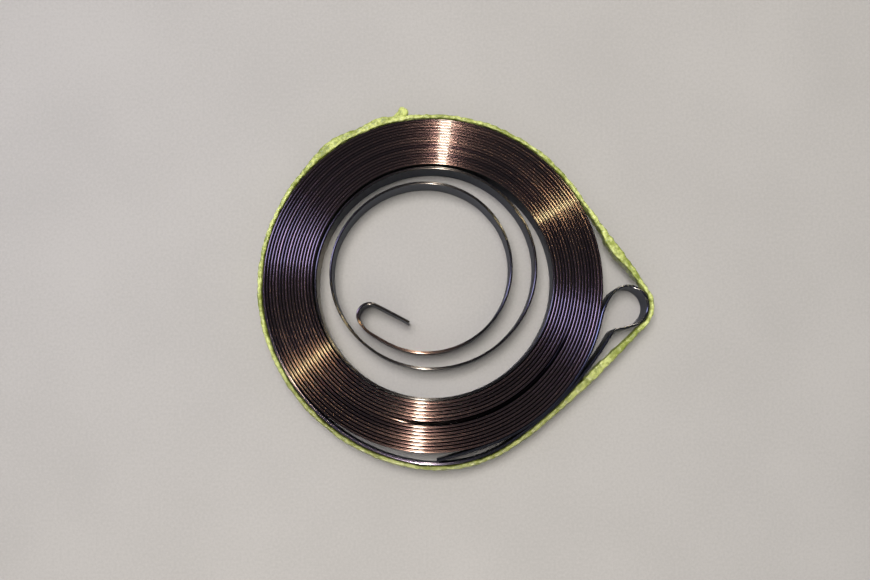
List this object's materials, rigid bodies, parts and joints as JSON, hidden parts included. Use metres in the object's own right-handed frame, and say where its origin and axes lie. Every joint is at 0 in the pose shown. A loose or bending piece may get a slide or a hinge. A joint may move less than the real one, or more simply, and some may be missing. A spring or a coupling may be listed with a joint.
{
  "type": "recoil starter spring",
  "caption": "Flat spiral spring for a pull starter: steel strip wound on edge, with a hairpin inner hook and an outer loop, kept wound by a film tie.",
  "frame": {"origin": "on the coil's axis, on the surface that the lower edge of the strip lies on", "axes": "+Z along the coil's axis, up out of the surface; +X towards the outer loop"},
  "size_m": [0.1064, 0.0978, 0.0095],
  "materials": {
    "spring_steel": "tempered, oiled, plum-brown to blue-grey",
    "tie_film": "crinkled film"
  },
  "bodies": {
    "root": {"spring_strip": "spring_steel", "retaining_tie": "tie_film"}
  },
  "joints": []
}
